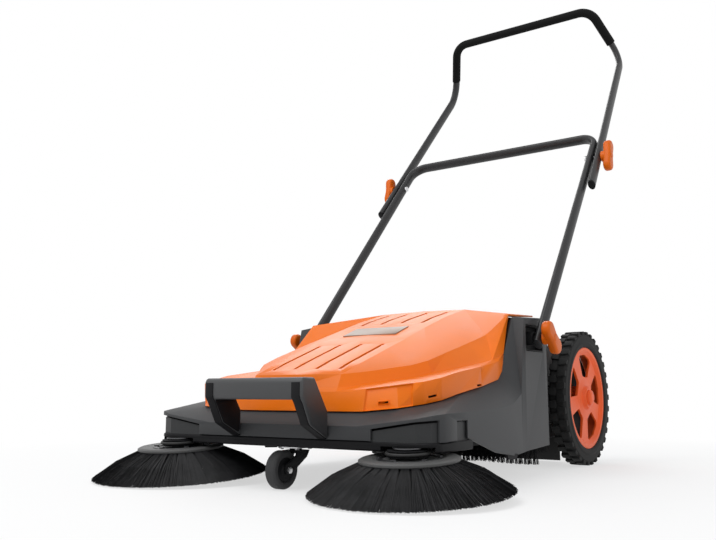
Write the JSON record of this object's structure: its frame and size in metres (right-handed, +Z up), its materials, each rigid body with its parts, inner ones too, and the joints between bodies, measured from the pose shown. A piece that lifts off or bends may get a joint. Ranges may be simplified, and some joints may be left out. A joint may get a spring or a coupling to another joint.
{
  "type": "manual floor sweeper",
  "caption": "Push floor sweeper on rear wheels and a front caster, with angled side brushes, a main roller, a lift-out dirt hopper and a folding push handle.",
  "frame": {"origin": "centre of the footprint's box on the floor, under the rear part of the hopper", "axes": "+Z up, -Y the front with the side brushes, +X to the right of someone who faces the front"},
  "size_m": [0.767, 1.2408, 1.1777],
  "materials": {
    "shell_grey": "satin",
    "black_plastic": "satin",
    "orange": "satin",
    "rim_orange": "satin",
    "plate_grey": "matte",
    "tube_grey": "satin powder coat",
    "disc_grey": "matte",
    "tyre": "matte",
    "caster_grey": "matte",
    "rubber": "matte",
    "bristle": "bristle",
    "grip_foam": "matte",
    "steel": "zinc plated",
    "brass": "satin"
  },
  "bodies": {
    "chassis": {"housing": "shell_grey", "front_beam": "black_plastic", "carry_handle": "shell_grey", "brush_spindle_left": "steel", "brush_spindle_right": "steel", "belt_left": "rubber", "belt_right": "rubber", "belt_guide": "steel", "axle": "steel", "axle_bush_left": "brass", "axle_bush_right": "brass", "roller_bearing_left": "steel", "roller_bearing_right": "steel", "rear_flap": "rubber", "handle_bracket_left": "black_plastic", "handle_bracket_right": "black_plastic", "pivot_bolt_left": "steel", "pivot_bolt_right": "steel", "caster_plate": "steel"},
    "hopper": {"hopper_cover": "orange", "cover_plate": "plate_grey", "hopper_bin": "black_plastic"},
    "wheel_left": {"tyre_left": "tyre", "rim_left": "rim_orange", "wheel_pulley_left": "black_plastic", "hub_cap_left": "black_plastic", "wheel_gear": "black_plastic"},
    "wheel_right": {"tyre_right": "tyre", "rim_right": "rim_orange", "wheel_pulley_right": "black_plastic", "hub_cap_right": "black_plastic"},
    "roller": {"roller_core": "orange", "roller_bristles": "bristle", "roller_pinion": "steel"},
    "side_brush_left": {"side_brush_disc_left": "disc_grey", "side_brush_bristles_left": "bristle", "side_brush_pulley_left": "black_plastic", "side_brush_clamp_left": "steel"},
    "side_brush_right": {"side_brush_disc_right": "disc_grey", "side_brush_bristles_right": "bristle", "side_brush_pulley_right": "black_plastic", "side_brush_clamp_right": "steel"},
    "caster_fork": {"caster_fork": "black_plastic", "caster_bolt": "steel"},
    "caster_wheel": {"caster_tyre": "caster_grey", "caster_hub": "black_plastic"},
    "lower_frame": {"lower_handle": "tube_grey", "clamp_bolt_left": "steel", "clamp_bolt_right": "steel", "clamp_spacer_left": "black_plastic", "clamp_spacer_right": "black_plastic"},
    "upper_frame": {"upper_handle": "tube_grey", "upper_plug_left": "black_plastic", "upper_plug_right": "black_plastic", "grip": "grip_foam"},
    "lower_knob_left": {"lower_knob_left": "orange"},
    "lower_knob_right": {"lower_knob_right": "orange"},
    "upper_knob_left": {"upper_knob_left": "orange"},
    "upper_knob_right": {"upper_knob_right": "orange"}
  },
  "joints": [
    {"name": "wheel_left_spin", "type": "hinge", "parent": "chassis", "child": "wheel_left", "pos_m": [-0.244, 0.21225, 0.14], "axis": [1, 0, 0], "continuous": true},
    {"name": "wheel_right_spin", "type": "hinge", "parent": "chassis", "child": "wheel_right", "pos_m": [0.244, 0.21225, 0.14], "axis": [1, 0, 0], "continuous": true},
    {"name": "roller_spin", "type": "hinge", "parent": "chassis", "child": "roller", "pos_m": [0, 0.10805, 0.0775], "axis": [1, 0, 0], "continuous": true},
    {"name": "side_brush_left_spin", "type": "hinge", "parent": "chassis", "child": "side_brush_left", "pos_m": [-0.2335, -0.47075, 0.0108], "axis": [0, -0.0645, 0.9979], "continuous": true},
    {"name": "side_brush_right_spin", "type": "hinge", "parent": "chassis", "child": "side_brush_right", "pos_m": [0.2335, -0.47075, 0.0108], "axis": [0, -0.0645, 0.9979], "continuous": true},
    {"name": "caster_swivel", "type": "hinge", "parent": "chassis", "child": "caster_fork", "pos_m": [0, -0.44275, 0.055], "axis": [0, 0, 1], "continuous": true},
    {"name": "caster_wheel_spin", "type": "hinge", "parent": "caster_fork", "child": "caster_wheel", "pos_m": [0, -0.47775, 0.03], "axis": [1, 0, 0], "continuous": true},
    {"name": "hopper_lift", "type": "slide", "parent": "chassis", "child": "hopper", "axis": [0, 0, 1], "range_m": [0, 0.3]},
    {"name": "lower_frame_fold", "type": "hinge", "parent": "chassis", "child": "lower_frame", "pos_m": [0, -0.06675, 0.25], "axis": [1, 0, 0], "range_deg": [-25, 110]},
    {"name": "upper_frame_fold", "type": "hinge", "parent": "lower_frame", "child": "upper_frame", "pos_m": [0, 0.31573, 0.69], "axis": [-1, 0, 0], "range_deg": [0, 130]},
    {"name": "lower_knob_left_turn", "type": "hinge", "parent": "chassis", "child": "lower_knob_left", "pos_m": [-0.29, -0.06675, 0.25], "axis": [-1, 0, 0], "continuous": true},
    {"name": "lower_knob_right_turn", "type": "hinge", "parent": "chassis", "child": "lower_knob_right", "pos_m": [0.29, -0.06675, 0.25], "axis": [1, 0, 0], "continuous": true},
    {"name": "upper_knob_left_turn", "type": "hinge", "parent": "lower_frame", "child": "upper_knob_left", "pos_m": [-0.293, 0.31573, 0.69], "axis": [-1, 0, 0], "continuous": true},
    {"name": "upper_knob_right_turn", "type": "hinge", "parent": "lower_frame", "child": "upper_knob_right", "pos_m": [0.293, 0.31573, 0.69], "axis": [1, 0, 0], "continuous": true}
  ],
  "couplings": [
    {"joint": "roller_spin", "follows": "wheel_left_spin", "ratio": -2.8571},
    {"joint": "side_brush_left_spin", "follows": "wheel_left_spin", "ratio": 1.3636},
    {"joint": "side_brush_right_spin", "follows": "wheel_right_spin", "ratio": -1.3636}
  ]
}
